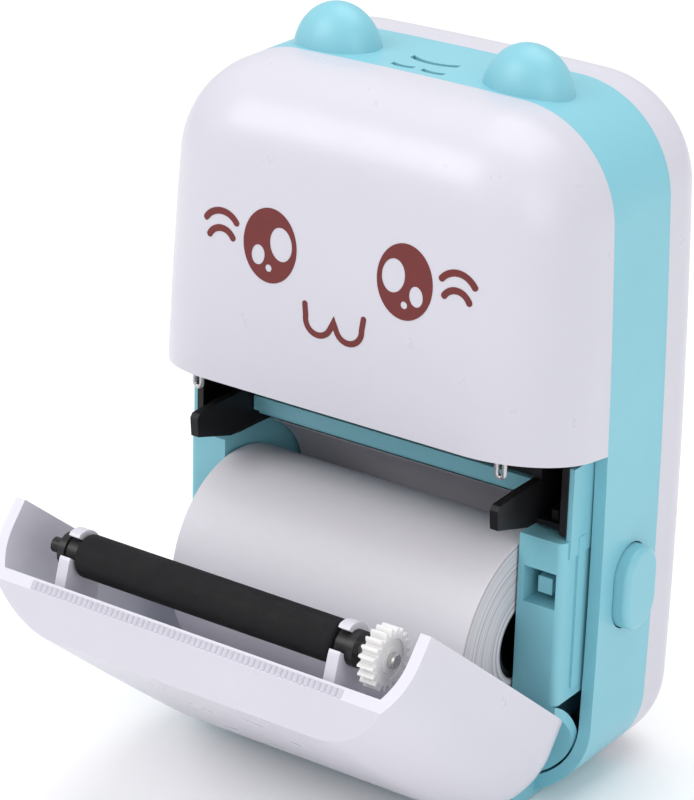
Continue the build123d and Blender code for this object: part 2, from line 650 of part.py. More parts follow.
foot = profile([(-26, 45.0), (-26, 52.0), (-19.0, 52.0)], ARM_X + 2, 1.0) & inside
arm = arm + foot - rod((ARM_X - 1, PLATEN_Y, PLATEN_Z), 2.5, 6)
arm = arm - block(ARM_X - 1, 30, PLATEN_Y - 1.7, PLATEN_Y + 1.7, PLATEN_Z, 65)
rib = block(-ARM_X - 0.2, ARM_X + 0.2, -26, -15.6, 48.6, 50.0) & inside
arms = both_sides(arm) + rib + boss
arms = arms - tear_cut - band_out
arms = arms - door
save(open_door(arms), "platen_arms")

with BuildPart() as tear:
    with BuildSketch(front_view(TEAR[3])):
        with BuildLine():
            pts = [(TEAR[0], LIP_Z - 1.3), (TEAR[0], LIP_Z - 0.1)]
            count = 59
            for n in range(count):
                pts.append((TEAR[0] + n + 0.5, LIP_Z + 0.5))
                pts.append((TEAR[0] + n + 1.0, LIP_Z - 0.1))
            pts.append((TEAR[1], LIP_Z - 1.3))
            Polyline(*pts, close=True)
        make_face()
    extrude(amount=TEAR[3] - TEAR[2])
save(open_door(tear.part), "tear_edge")

rubber = tube((-RUBBER_HALF, PLATEN_Y, PLATEN_Z), PLATEN_R, 1.9, 2 * RUBBER_HALF)
outer_ends = rubber.edges().filter_by(GeomType.CIRCLE).sort_by(SortBy.RADIUS)[-2:]
rubber = fillet(outer_ends, 0.8)
save(open_door(rubber), "platen_rubber")
shaft = rod((-RUBBER_HALF, PLATEN_Y, PLATEN_Z), 1.9, 2 * RUBBER_HALF)
shaft = shaft + rod((-27.5, PLATEN_Y, PLATEN_Z), SHAFT_R, 61.7)
shaft = chamfer(shaft.edges().filter_by_position(Axis.X, 34.1, 34.3), 0.25)
save(open_door(shaft), "platen_shaft")
bushing = tube((ARM_X - 0.05, PLATEN_Y, PLATEN_Z), 2.5, SHAFT_R + 0.03, 3.2)
bushing = bushing + tube((ARM_X + 2.1, PLATEN_Y, PLATEN_Z), 2.85, SHAFT_R + 0.03, 1.3)
bushings = both_sides(bushing) + rod((-28.0, PLATEN_Y, PLATEN_Z), 2.0, 0.45)
bushings = bushings + rod((-30.6, PLATEN_Y, PLATEN_Z), SHAFT_R, 2.65)
save(open_door(bushings), "platen_bushings")
wheel = spur_gear(TEETH_PLATEN, 0.0, PLATEN_Y, PLATEN_Z, GEAR_X, 2.8, SHAFT_R)
face_ring = tube((GEAR_X + 2.5, PLATEN_Y, PLATEN_Z), 3.3, 2.1, 0.5)
wheel = wheel - face_ring
save(open_door(wheel), "platen_gear")
pins = rod((24.4, HINGE_Y, HINGE_Z), 1.2, 8.4)
save(open_door(both_sides(pins)), "hinge_pins")

# ---------------------------------------------------------------- print head
PLATE_X = 28.3
PLATE_T = 1.5
HEAD_SIDE = 36.1      # outer face of the gear box ribs
SLOT_END = PLATEN_Y + SHAFT_R + 0.3
lip_points = [(-20.9, 53.3), (-21.2, 56.6), (-20.6, 57.3), (-18.0, 57.4), (-14.6, 57.6), (SLOT_END, 57.6),
              (SLOT_END, 61.9), (-13.0, 61.9), (-15.0, 64.1), (-15.0, 72.5)]
left_points = lip_points + [(5.5, 72.5), (5.5, 56.0), (-1.0, 50.2), (-12.0, 50.6)]
right_points = lip_points + [(-9.5, 75.5), (-9.5, 91.0), (8.4, 91.0), (8.4, 70.5), (5.5, 66.5),
                             (5.5, 56.0), (-1.0, 50.2), (-12.0, 50.6)]
left_plate = profile(left_points, -PLATE_X - PLATE_T, PLATE_T)
right_plate = profile(right_points, PLATE_X, PLATE_T)
rib_points = [(-11.0, 50.4), (-11.0, 65.6), (3.0, 65.6), (3.0, 50.4), (-2.0, 49.9), (-6.0, 51.6)]
rib_right = profile(rib_points, HEAD_SIDE - 1.2, 1.2)
shelf = block(PLATE_X + PLATE_T - 0.1, HEAD_SIDE, -9.4, 3.0, 50.4, 51.4)
rear = block(PLATE_X + PLATE_T - 0.1, HEAD_SIDE, 1.8, 3.0, 50.4, 58.2)
corner = block(32.0, 33.2, -8.6, 3.0, 50.4, 53.2)
outer_box = rib_right + shelf + rear + corner
head_wall = block(-PLATE_X - 0.1, PLATE_X + 0.1, -5.3, -3.8, 56.2, 72.5)
head_wall = head_wall - block(-9.5, 9.5, -7, -2, 63.7, 66.9)
head_roof = block(-PLATE_X - 0.1, PLATE_X + 0.1, -15.0, -3.8, 71.1, 72.5)
head_frame = left_plate + right_plate + head_wall + head_roof + outer_box + mirror(outer_box, about=Plane.YZ)
head_frame = head_frame - rod((27, DRIVE_Y, DRIVE_Z), 0.8, 5) - rod((27, IDLER_Y, IDLER_Z), 0.8, 5)
head_frame = head_frame - rod((27, MOTOR_Y, MOTOR_Z), 1.6, 5)
for x in (-16, 16):
    head_frame = head_frame + rod((x, -10, 69.9), 1.2, 1.3, "Z")
save(head_frame, "head_frame")

ceramic = block(-27.4, 27.4, -14.4, -5.7, 63.35, 64.1)
bead = rod((-24.2, -10.6, 63.4), 0.35, 48.4) & block(-30, 30, -12, -9, 63.0, 63.35)
save(ceramic + bead, "thermal_head")
sink = block(-27.9, 27.9, -15.0, -5.7, 64.1, 66.9)
for x in range(-24, 25, 8):
    sink = sink - block(x - 1.2, x + 1.2, -16, -12.4, 65.1, 68)
save(sink, "heat_sink")
springs = coil((-16, -10, 67.25), 1.9, 0.32, 1.15, 3.5) + coil((16, -10, 67.25), 1.9, 0.32, 1.15, 3.5)
springs = springs & block(-30, 30, -20, 0, 66.9, 71.1)
save(springs, "head_springs")

WIRE_Y = -19.9
WIRE_X = 28.45
WIRE_X2 = 29.85
WIRE_MID = (WIRE_X + WIRE_X2) / 2
WIRE_TOP = 71.7
WIRE_LOW = 61.9
WIRE_BEND = 0.29
with BuildPart() as clip:
    with BuildLine() as clip_path:
        l1 = Line((WIRE_X, -15.0, WIRE_TOP), (WIRE_X, WIRE_Y + 1.0, WIRE_TOP))
        l2 = ThreePointArc(l1 @ 1, (WIRE_X, WIRE_Y + WIRE_BEND, WIRE_TOP - WIRE_BEND),
                           (WIRE_X, WIRE_Y, WIRE_TOP - 1))
        l3 = Line(l2 @ 1, (WIRE_X, WIRE_Y, WIRE_LOW + WIRE_MID - WIRE_X))
        l4 = ThreePointArc(l3 @ 1, (WIRE_MID, WIRE_Y, WIRE_LOW),
                           (WIRE_X2, WIRE_Y, WIRE_LOW + WIRE_MID - WIRE_X))
        l5 = Line(l4 @ 1, (WIRE_X2, WIRE_Y, WIRE_TOP - 1))
        l6 = ThreePointArc(l5 @ 1, (WIRE_X2, WIRE_Y + WIRE_BEND, WIRE_TOP - WIRE_BEND),
                           (WIRE_X2, WIRE_Y + 1.0, WIRE_TOP))
        l7 = Line(l6 @ 1, (WIRE_X2, -15.0, WIRE_TOP))
    with BuildSketch(Plane(origin=(WIRE_X, -15.0, WIRE_TOP), z_dir=(0, -1, 0))):
        Circle(0.42)
    sweep()
save(both_sides(clip.part), "wire_clips")

# ---------------------------------------------------------------- drive train
to_idler = atan2(IDLER_Z - DRIVE_Z, IDLER_Y - DRIVE_Y)
to_motor = atan2(MOTOR_Z - IDLER_Z, MOTOR_Y - IDLER_Y)
LAYER = 1.7
drive = spur_gear(TEETH_DRIVE, to_idler, DRIVE_Y, DRIVE_Z, GEAR_X, LAYER, 0.83)
save(drive, "drive_gear")
idler = spur_gear(TEETH_IDLER, to_idler + pi - pi / TEETH_IDLER, IDLER_Y, IDLER_Z, GEAR_X, LAYER + 0.3, 0.83)
idler = idler + spur_gear(TEETH_WHEEL, to_motor, IDLER_Y, IDLER_Z, GEAR2_X, 1.6, 0.83)
save(idler, "idler_gear")
pinion = spur_gear(TEETH_PINION, to_motor + pi - pi / TEETH_PINION, MOTOR_Y, MOTOR_Z, GEAR2_X - 0.1, 1.8, 0.74)
pinion = pinion + rod((27.9, MOTOR_Y, MOTOR_Z), 0.75, 6.4)
save(pinion, "motor_pinion")
axles = rod((PLATE_X, DRIVE_Y, DRIVE_Z), 0.8, 3.9) + rod((PLATE_X, IDLER_Y, IDLER_Z), 0.8, 6.1)
axle_caps = rod((32.15, DRIVE_Y, DRIVE_Z), 1.2, 0.15) + rod((34.05, IDLER_Y, IDLER_Z), 1.3, 0.5)
save(axles + axle_caps, "gear_axles")
can = rod((14.0, MOTOR_Y, MOTOR_Z), 7.4, 13.4)
can = fillet(can.edges().filter_by(GeomType.CIRCLE), 0.7)
flange = rod((27.4, MOTOR_Y, MOTOR_Z), 8.2, 0.9)
motor = can + flange - rod((27.8, MOTOR_Y, MOTOR_Z), 0.8, 1)
motor = motor + block(15.5, 21.5, 6.2, 8.6, 79.5, 85.1)
save(motor, "stepper_motor")

# ---------------------------------------------------------------- electronics
board = block(-33.0, 33.0, BOARD_Y, BOARD_Y + BOARD_T, 66.5, 110.0)
for side in (-1, 1):
    board = board - rod((side * SCREW_TOP_X, 8, SCREW_TOP_Z), 1.3, 4, "Y")
    board = board - block(side * 33 - 5.5, side * 33 + 5.5, 8, 12, 104.6, 111)
save(board, "main_board")
chips = block(-22, -6, BOARD_Y - 2.4, BOARD_Y, 88, 104) + block(-2, 6, BOARD_Y - 1.2, BOARD_Y, 92, 100)
chips = chips + block(-14, -8, BOARD_Y - 1.1, BOARD_Y, 76, 82) + block(-27.5, -23, BOARD_Y - 1.6, BOARD_Y, 90, 93)
for x in (-2, 2, 6):
    chips = chips + block(x, x + 2, BOARD_Y - 1.0, BOARD_Y, 80, 81.2)
save(chips, "board_chips")
caps = rod((-24, BOARD_Y - 6.5, 72.5), 2.6, 6.5, "Y") + rod((-17.5, BOARD_Y - 6.5, 72.5), 2.6, 6.5, "Y")
save(caps, "capacitors")
plugs = block(-9, 9, BOARD_Y - 3.0, BOARD_Y, 68.5, 72.0)
plugs = plugs + block(-1, 7, BOARD_Y + BOARD_T, BOARD_Y + BOARD_T + 3.4, 70.0, 75.0)
plugs = plugs - block(-8.2, 8.2, BOARD_Y - 2.0, BOARD_Y - 1.0, 66, 70.6)
save(plugs, "board_connectors")


def usb_box(grow, x, length):
    with BuildPart() as part:
        with BuildSketch(side_view(x)):
            with Locations((USB_Y, USB_Z)):
                RectangleRounded(3.2 + 2 * grow, 9.0 + 2 * grow, 1.5 + grow)
        extrude(amount=length)
    return part.part


socket = usb_box(0, -37.8, 7.4) - usb_box(-0.3, -38.4, 7.5)
socket = socket + block(-30.9, -30.4, USB_Y - 1.4, BOARD_Y, USB_Z - 4, USB_Z + 4) - usb_box(-0.3, -38.4, 7.5)
save(socket, "usb_socket")
tongue_usb = block(-37.1, -30.9, USB_Y - 0.35, USB_Y + 0.35, USB_Z - 3.3, USB_Z + 3.3)
save(tongue_usb, "usb_tongue")
switch = block(-33.4, -28.6, POWER_Y - 2.2, BOARD_Y, POWER_Z - 3, POWER_Z + 2.5)
save(switch, "tact_switch")
button_power = rod((-38.8, POWER_Y, POWER_Z), 3.0, 3.8)
button_power = fillet(button_power.edges().filter_by_position(Axis.X, -39, -38.7), 0.6)
button_power = button_power + rod((-35.2, POWER_Y, POWER_Z), 3.8, 1.0)
save(button_power, "power_button")
led = rod((-38.4, POWER_Y, POWER_Z - 7.5), 0.95, 5.0)
led = led + block(-34.0, -31.9, POWER_Y - 1.2, BOARD_Y, POWER_Z - 9, POWER_Z - 6)
save(led, "status_light")

cell = block(-21, 21, 16.4, 22.4, 12.0, 57.0)
cell = fillet(cell.edges().filter_by(Axis.Z), 2.0)
cell = cell + block(-15, 15, 18.0, 21.0, 57.0, 58.2)
save(cell, "battery_pack")


def wire(points, r):
    with BuildPart() as part:
        with BuildLine() as path:
            Spline(*points)
        with BuildSketch(Plane(origin=path.line @ 0, z_dir=path.line % 0)):
            Circle(r)
        sweep()
    return part.part


leads = wire([(1.6, 19.5, 58.3), (1.6, 19.5, 61.0), (1.6, 13.2, 67.0), (1.6, 12.7, 69.9)], 0.55)
leads = leads + wire([(4.4, 19.5, 58.3), (4.4, 19.5, 61.0), (4.4, 13.2, 67.0), (4.4, 12.7, 69.9)], 0.55)
save(leads, "battery_leads")
with BuildPart() as ribbon:
    with BuildSketch(side_view(-8)):
        with BuildLine():
            Spline((-5.6, 65.4), (-3.0, 65.5), (2.0, 64.8), (6.2, 65.4), (7.9, 68.0), (7.9, 70.4))
        trace(line_width=0.16)
    extrude(amount=16)
save(ribbon.part, "head_ribbon")

# ---------------------------------------------------------------- release
PRESS = 1.8
button = button_solid(0, 36.9, 5.3)
button = fillet(button.edges().filter_by_position(Axis.X, 42.1, 42.3), 1.1)
button = button + button_solid(1.1, 35.9, 1.2)
stem = block(32.1, 36.1, 0.8, 6.2, 39.4, 42.4)
with BuildPart() as bevel:
    with BuildSketch(Plane.XY.offset(39)):
        with BuildLine():
            Polyline((29, -2), (38.08, -2), (29, 7.08), close=True)
        make_face()
    extrude(amount=4)
save(button + (stem - bevel.part), "release_button")
plunger = block(31.4, 34.0, -10.6, 4.5, 39.5, 42.3)
with BuildPart() as bevel_rear:
    with BuildSketch(Plane.XY.offset(38)):
        with BuildLine():
            Polyline((29, 7.0), (39, -3.0), (39, 7.0), close=True)
        make_face()
    extrude(amount=6)
save(plunger - bevel_rear.part, "release_plunger")
spring_x = coil((BAY_RIGHT + 1.85, 4.0, 34.0), 2.0, 0.32, 0.85, 3.2, (1, 0, 0))
save(spring_x, "release_spring")
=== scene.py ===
"""Looks for the pocket printer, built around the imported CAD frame. Metres throughout."""

import math

import bpy
from mathutils import Matrix, Vector


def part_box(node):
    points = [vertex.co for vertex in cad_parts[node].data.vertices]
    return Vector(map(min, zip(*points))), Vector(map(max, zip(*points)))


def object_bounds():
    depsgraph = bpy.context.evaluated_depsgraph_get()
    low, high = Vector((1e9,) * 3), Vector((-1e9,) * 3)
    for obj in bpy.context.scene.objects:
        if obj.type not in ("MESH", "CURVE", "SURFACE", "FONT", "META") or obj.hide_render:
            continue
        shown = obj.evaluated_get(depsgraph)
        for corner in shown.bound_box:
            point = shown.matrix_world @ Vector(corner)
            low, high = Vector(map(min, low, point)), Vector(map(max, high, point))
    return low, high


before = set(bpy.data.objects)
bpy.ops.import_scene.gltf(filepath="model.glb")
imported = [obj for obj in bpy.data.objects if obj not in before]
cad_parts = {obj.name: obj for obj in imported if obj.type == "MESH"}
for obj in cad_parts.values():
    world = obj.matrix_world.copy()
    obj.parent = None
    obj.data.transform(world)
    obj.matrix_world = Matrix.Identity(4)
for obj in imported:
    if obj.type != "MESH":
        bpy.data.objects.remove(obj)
cad_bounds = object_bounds()

NOISE_LOW = 0.3             # most of a noise pattern lies between these two levels
NOISE_HIGH = 0.7
SURFACE_IOR = 1.5
PICTURE_HEIGHT = 800.0      # the picture's longer side, in its own dots
FOCAL_DOTS = 3223.58        # focal length in the same dots
SENSOR = 36.0               # mm, along the picture's longer side
FLOOR_GAP = 0.0002          # the floor lies this far below the feet, to avoid flicker


# ------------------------------------------------------------------ materials
def link(tree, out, into):
    """Joins an output to an input."""
    tree.links.new(out, into)


def start_material(name, metallic=0.0, specular=0.5):
    """A new material with a principled shader, and object coordinates for the patterns."""
    material = bpy.data.materials.new(name)
    material.use_nodes = True
    tree = material.node_tree
    shader = next(n for n in tree.nodes if n.type == "BSDF_PRINCIPLED")
    shader.inputs["Metallic"].default_value = metallic
    shader.inputs["IOR"].default_value = SURFACE_IOR
    shader.inputs["Specular IOR Level"].default_value = specular
    place = tree.nodes.new("ShaderNodeTexCoord")
    return material, tree, shader, place.outputs["Object"]


def stretched(tree, place, scale):
    """The coordinates scaled differently along each axis."""
    mapping = tree.nodes.new("ShaderNodeMapping")
    mapping.inputs["Scale"].default_value = scale
    link(tree, place, mapping.inputs["Vector"])
    return mapping.outputs["Vector"]


def noise(tree, place, scale, detail=3.0, rough=0.55):
    """A cloudy pattern; scale is in features a metre."""
    node = tree.nodes.new("ShaderNodeTexNoise")
    node.inputs["Scale"].default_value = scale
    node.inputs["Detail"].default_value = detail
    node.inputs["Roughness"].default_value = rough
    link(tree, place, node.inputs["Vector"])
    return node.outputs["Fac"]


def waves(tree, place, scale, direction="X", rings=False, distortion=0.0):
    """Bands or rings, one every 1 / scale metres or so."""
    node = tree.nodes.new("ShaderNodeTexWave")
    node.wave_type = "RINGS" if rings else "BANDS"
    if rings:
        node.rings_direction = direction
    else:
        node.bands_direction = direction
    node.inputs["Scale"].default_value = scale
    node.inputs["Distortion"].default_value = distortion
    link(tree, place, node.inputs["Vector"])
    return node.outputs["Fac"]


def ramp(tree, value, stops):
    """A colour for each level of a pattern; stops are (level, (r, g, b))."""
    node = tree.nodes.new("ShaderNodeValToRGB")
    elements = node.color_ramp.elements
    elements[0].position, elements[0].color = stops[0][0], (*stops[0][1], 1.0)
    elements[1].position, elements[1].color = stops[-1][0], (*stops[-1][1], 1.0)
    for level, colour in stops[1:-1]:
        elements.new(level).color = (*colour, 1.0)
    link(tree, value, node.inputs["Fac"])
    return node.outputs["Color"]


def blend_of(tree, pattern, low_colour, high_colour):
    """One colour where a noise pattern is low, running to another where it is high."""
    return ramp(tree, pattern, [(NOISE_LOW, low_colour), (NOISE_HIGH, high_colour)])


def spread(tree, value, low, high):
    """A pattern rescaled to run from low to high."""
    node = tree.nodes.new("ShaderNodeMapRange")
    node.inputs["From Min"].default_value = NOISE_LOW
    node.inputs["From Max"].default_value = NOISE_HIGH
    node.inputs["To Min"].default_value = low
    node.inputs["To Max"].default_value = high
    link(tree, value, node.inputs["Value"])
    return node.outputs["Result"]


def bumped(tree, shader, value, depth, strength=1.0, before=None):
    """Adds a bump to the shader, depth in metres, on top of an earlier one."""
    node = tree.nodes.new("ShaderNodeBump")
    node.inputs["Strength"].default_value = strength
    node.inputs["Distance"].default_value = depth
    link(tree, value, node.inputs["Height"])
    if before is not None:
        link(tree, before, node.inputs["Normal"])
    link(tree, node.outputs["Normal"], shader.inputs["Normal"])
    return node.outputs["Normal"]


def plastic(name, colour, rough=(0.3, 0.4), drift=0.03, grain=1400.0, depth=2.5e-5,
            specular=0.5, soft=None):
    """Moulded plastic: a fine spark-eroded grain, slow colour drift and uneven gloss."""
    material, tree, shader, place = start_material(name, specular=specular)
    darker = tuple(max(0.0, c * (1.0 - drift)) for c in colour)
    lighter = tuple(min(1.0, c * (1.0 + drift)) for c in colour)
    clouds = noise(tree, place, 38.0, 4.0)
    link(tree, blend_of(tree, clouds, darker, lighter), shader.inputs["Base Color"])
    link(tree, spread(tree, noise(tree, place, 160.0, 5.0), *rough), shader.inputs["Roughness"])
    flow = bumped(tree, shader, noise(tree, place, 55.0, 2.0), 6e-5, 0.25)
    bumped(tree, shader, noise(tree, place, grain, 2.0), depth, 0.6, flow)
    if soft:
        shader.inputs["Subsurface Weight"].default_value = soft
        shader.inputs["Subsurface Radius"].default_value = (0.004, 0.0035, 0.003)
        shader.inputs["Subsurface Scale"].default_value = 1.0
    return material


def metal(name, colour, rough=(0.22, 0.36), along=(1.0, 1.0, 1.0), scale=500.0, depth=8e-6):
    """Metal with fine drawing or turning lines, stretched along the slow axis."""
    material, tree, shader, place = start_material(name, metallic=1.0)
    lines = noise(tree, stretched(tree, place, along), scale, 6.0)
    darker = tuple(c * 0.86 for c in colour)
    link(tree, blend_of(tree, lines, darker, colour), shader.inputs["Base Color"])
    link(tree, spread(tree, lines, *rough), shader.inputs["Roughness"])
    bumped(tree, shader, lines, depth, 0.7)
    return material


def rubber(name):
    """Ground platen rubber: matt charcoal, with turning rings and a little pale paper dust."""
    material, tree, shader, place = start_material(name, specular=0.14)
    dust = noise(tree, place, 2600.0, 6.0, 0.8)
    stops = [(0.0, (0.006, 0.006, 0.007)), (0.64, (0.012, 0.012, 0.013)),
             (0.74, (0.035, 0.034, 0.035)), (0.82, (0.22, 0.21, 0.21))]
    link(tree, ramp(tree, dust, stops), shader.inputs["Base Color"])
    link(tree, spread(tree, noise(tree, place, 300.0, 4.0), 0.55, 0.75),
         shader.inputs["Roughness"])
    rings = bumped(tree, shader, waves(tree, place, 700.0, "X", distortion=1.5), 1.2e-5, 0.5)
    bumped(tree, shader, dust, 3e-5, 0.6, rings)
    return material


def paper(name, colour=(0.70, 0.68, 0.725), centre=None):
    """Thermal paper: smooth coated white with faint fibres.

    With a centre, the material is for a roll: its flat ends show the edges of the turns."""
    material, tree, shader, place = start_material(name, specular=0.4)
    fibres = noise(tree, stretched(tree, place, (0.35, 1.0, 1.0)), 900.0, 6.0, 0.7)
    darker = tuple(c * 0.975 for c in colour)
    tint = blend_of(tree, fibres, darker, colour)
    shader.inputs["Subsurface Weight"].default_value = 0.08
    shader.inputs["Subsurface Radius"].default_value = (0.002, 0.002, 0.0015)
    shader.inputs["Subsurface Scale"].default_value = 1.0
    link(tree, spread(tree, fibres, 0.48, 0.60), shader.inputs["Roughness"])
    if centre is None:
        link(tree, tint, shader.inputs["Base Color"])
        bumped(tree, shader, fibres, 1e-5, 0.5)
        return material
    shift = tree.nodes.new("ShaderNodeMapping")
    shift.inputs["Location"].default_value = (0.0, -centre[0], -centre[1])
    link(tree, place, shift.inputs["Vector"])
    split = tree.nodes.new("ShaderNodeSeparateXYZ")
    link(tree, shift.outputs["Vector"], split.inputs["Vector"])
    flat = tree.nodes.new("ShaderNodeCombineXYZ")
    link(tree, split.outputs["Y"], flat.inputs["Y"])
    link(tree, split.outputs["Z"], flat.inputs["Z"])
    length = tree.nodes.new("ShaderNodeVectorMath")
    length.operation = "LENGTH"
    link(tree, flat.outputs["Vector"], length.inputs[0])
    turns = tree.nodes.new("ShaderNodeTexNoise")
    turns.noise_dimensions = "1D"
    turns.inputs["Scale"].default_value = 1900.0
    turns.inputs["Detail"].default_value = 5.0
    link(tree, length.outputs["Value"], turns.inputs["W"])
    edges = ramp(tree, turns.outputs["Fac"],
                 [(0.32, (0.42, 0.41, 0.43)), (0.5, (0.60, 0.59, 0.615)), (0.66, colour)])
    normal = tree.nodes.new("ShaderNodeNewGeometry")
    facing = tree.nodes.new("ShaderNodeSeparateXYZ")
    link(tree, normal.outputs["Normal"], facing.inputs["Vector"])
    size = tree.nodes.new("ShaderNodeMath")
    size.operation = "ABSOLUTE"
    link(tree, facing.outputs["X"], size.inputs[0])
    at_end = tree.nodes.new("ShaderNodeMath")
    at_end.operation = "GREATER_THAN"
    at_end.inputs[1].default_value = 0.8
    link(tree, size.outputs["Value"], at_end.inputs[0])
    mix = tree.nodes.new("ShaderNodeMix")
    mix.data_type = "RGBA"
    link(tree, at_end.outputs["Value"], mix.inputs["Factor"])
    link(tree, tint, mix.inputs["A"])
    link(tree, edges, mix.inputs["B"])
    link(tree, mix.outputs["Result"], shader.inputs["Base Color"])
    bumped(tree, shader, turns.outputs["Fac"], 6e-5, 0.35)
    return material


def ink(name, colour):
    """Pad-printed ink: an opaque, faintly uneven film over the white cover."""
    material, tree, shader, place = start_material(name, specular=0.4)
    patch = noise(tree, place, 420.0, 6.0, 0.65)
    darker = tuple(c * 0.82 for c in colour)
    link(tree, blend_of(tree, patch, darker, colour), shader.inputs["Base Color"])
    link(tree, spread(tree, patch, 0.34, 0.46), shader.inputs["Roughness"])
    bumped(tree, shader, noise(tree, place, 2600.0, 3.0), 1.2e-5, 0.5)
    return material


def flecked(name, base, fleck, scale, level, rough=(0.4, 0.55), depth=2e-5, specular=0.5):
    """A body colour with small flecks of another, such as solder mask over glass weave."""
    material, tree, shader, place = start_material(name, specular=specular)
    spots = noise(tree, place, scale, 6.0, 0.7)
    darker = tuple(c * 0.8 for c in base)
    stops = [(0.25, darker), (level - 0.06, base), (level, fleck)]
    link(tree, ramp(tree, spots, stops), shader.inputs["Base Color"])
    link(tree, spread(tree, spots, *rough), shader.inputs["Roughness"])
    bumped(tree, shader, spots, depth, 0.6)
    return material


def glowing(name, colour):
    """A milky light pipe, unlit."""
    material, tree, shader, place = start_material(name)
    patch = noise(tree, place, 600.0, 4.0)
    pale = tuple(min(1.0, c * 1.15) for c in colour)
    link(tree, blend_of(tree, patch, colour, pale), shader.inputs["Base Color"])
    link(tree, spread(tree, patch, 0.15, 0.25), shader.inputs["Roughness"])
    bumped(tree, shader, patch, 1e-5, 0.5)
    shader.inputs["Subsurface Weight"].default_value = 0.3
    shader.inputs["Subsurface Radius"].default_value = (0.002, 0.002, 0.002)
    shader.inputs["Subsurface Scale"].default_value = 1.0
    return material


def middle(node):
    """The centre of a CAD node's box at rest."""
    low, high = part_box(node)
    return [(a + b) / 2.0 for a, b in zip(low, high)]


WHITE = (0.575, 0.565, 0.625)
CYAN = (0.205, 0.505, 0.590)

roll_middle = middle("paper_roll")

MATERIALS = {
    "white_shell": plastic("white_shell", WHITE, (0.27, 0.35), 0.012, 1800.0, 1.6e-5, soft=0.06),
    "white_inner": plastic("white_inner", WHITE, (0.34, 0.46), 0.02, 1500.0, 2.4e-5, soft=0.06),
    "cyan_frame": plastic("cyan_frame", CYAN, (0.33, 0.42), 0.02, 1600.0, 2.2e-5, soft=0.05),
    "cyan_inner": plastic("cyan_inner", CYAN, (0.38, 0.5), 0.03, 1400.0, 2.8e-5, soft=0.05),
    "cyan_button": plastic("cyan_button", CYAN, (0.30, 0.38), 0.02, 1900.0, 1.6e-5, soft=0.05),
    "white_button": plastic("white_button", WHITE, (0.28, 0.36), 0.02, 1900.0, 1.6e-5),
    "face_ink": ink("face_ink", (0.150, 0.014, 0.013)),
    "black_frame": plastic("black_frame", (0.006, 0.006, 0.007), (0.40, 0.54), 0.15, 1300.0, 3e-5,
                           specular=0.32),
    "black_bush": plastic("black_bush", (0.008, 0.008, 0.009), (0.32, 0.44), 0.15, 1500.0, 2e-5,
                          specular=0.35),
    "black_core": plastic("black_core", (0.010, 0.010, 0.012), (0.3, 0.42), 0.15, 1200.0, 2.5e-5),
    "black_case": plastic("black_case", (0.02, 0.02, 0.022), (0.3, 0.42), 0.12, 1100.0, 2.5e-5),
    "platen": rubber("platen"),
    "milky_nylon": plastic("milky_nylon", (0.70, 0.69, 0.685), (0.32, 0.44), 0.03, 1500.0, 2e-5,
                           soft=0.25),
    "pinion_nylon": plastic("pinion_nylon", (0.78, 0.76, 0.70), (0.3, 0.42), 0.03, 1500.0, 2e-5,
                            soft=0.2),
    "thermal_paper": paper("thermal_paper"),
    "roll_paper": paper("roll_paper", centre=(roll_middle[1], roll_middle[2])),
    "turned_steel": metal("turned_steel", (0.62, 0.61, 0.60), (0.2, 0.34), (4.0, 0.6, 0.6)),
    "wire_steel": metal("wire_steel", (0.55, 0.55, 0.56), (0.24, 0.36), (0.3, 1.0, 1.0)),
    "spring_steel": metal("spring_steel", (0.48, 0.48, 0.5), (0.25, 0.4), (1.0, 1.0, 0.4)),
    "screw_steel": metal("screw_steel", (0.40, 0.40, 0.42), (0.3, 0.45), (1.0, 1.0, 1.0), 900.0),
    "motor_can": metal("motor_can", (0.58, 0.58, 0.58), (0.26, 0.42), (0.25, 1.0, 1.0)),
    "socket_shell": metal("socket_shell", (0.66, 0.65, 0.63), (0.2, 0.34), (0.3, 1.0, 1.0)),
    "drawn_aluminium": metal("drawn_aluminium", (0.72, 0.72, 0.73), (0.3, 0.45), (0.2, 1.0, 1.0)),
    "capacitor_can": metal("capacitor_can", (0.65, 0.65, 0.67), (0.24, 0.36), (1.0, 0.3, 1.0)),
    "glazed_ceramic": flecked("glazed_ceramic", (0.56, 0.54, 0.48), (0.66, 0.64, 0.58), 700.0, 0.6,
                              (0.16, 0.26), 8e-6),
    "green_board": flecked("green_board", (0.012, 0.12, 0.05), (0.03, 0.20, 0.09), 900.0, 0.62,
                           (0.3, 0.42), 1.5e-5),
    "chip_epoxy": flecked("chip_epoxy", (0.014, 0.014, 0.015), (0.05, 0.05, 0.052), 2200.0, 0.68,
                          (0.45, 0.6), 2e-5),
    "amber_flex": flecked("amber_flex", (0.42, 0.16, 0.035), (0.52, 0.22, 0.06), 500.0, 0.6,
                          (0.25, 0.38), 1e-5),
    "silver_foil": metal("silver_foil", (0.68, 0.68, 0.70), (0.28, 0.46), (1.0, 1.0, 1.0), 120.0,
                         6e-5),
    "red_wire": plastic("red_wire", (0.45, 0.018, 0.014), (0.35, 0.5), 0.1, 900.0, 2e-5),
    "light_pipe": glowing("light_pipe", (0.55, 0.72, 0.76)),
}

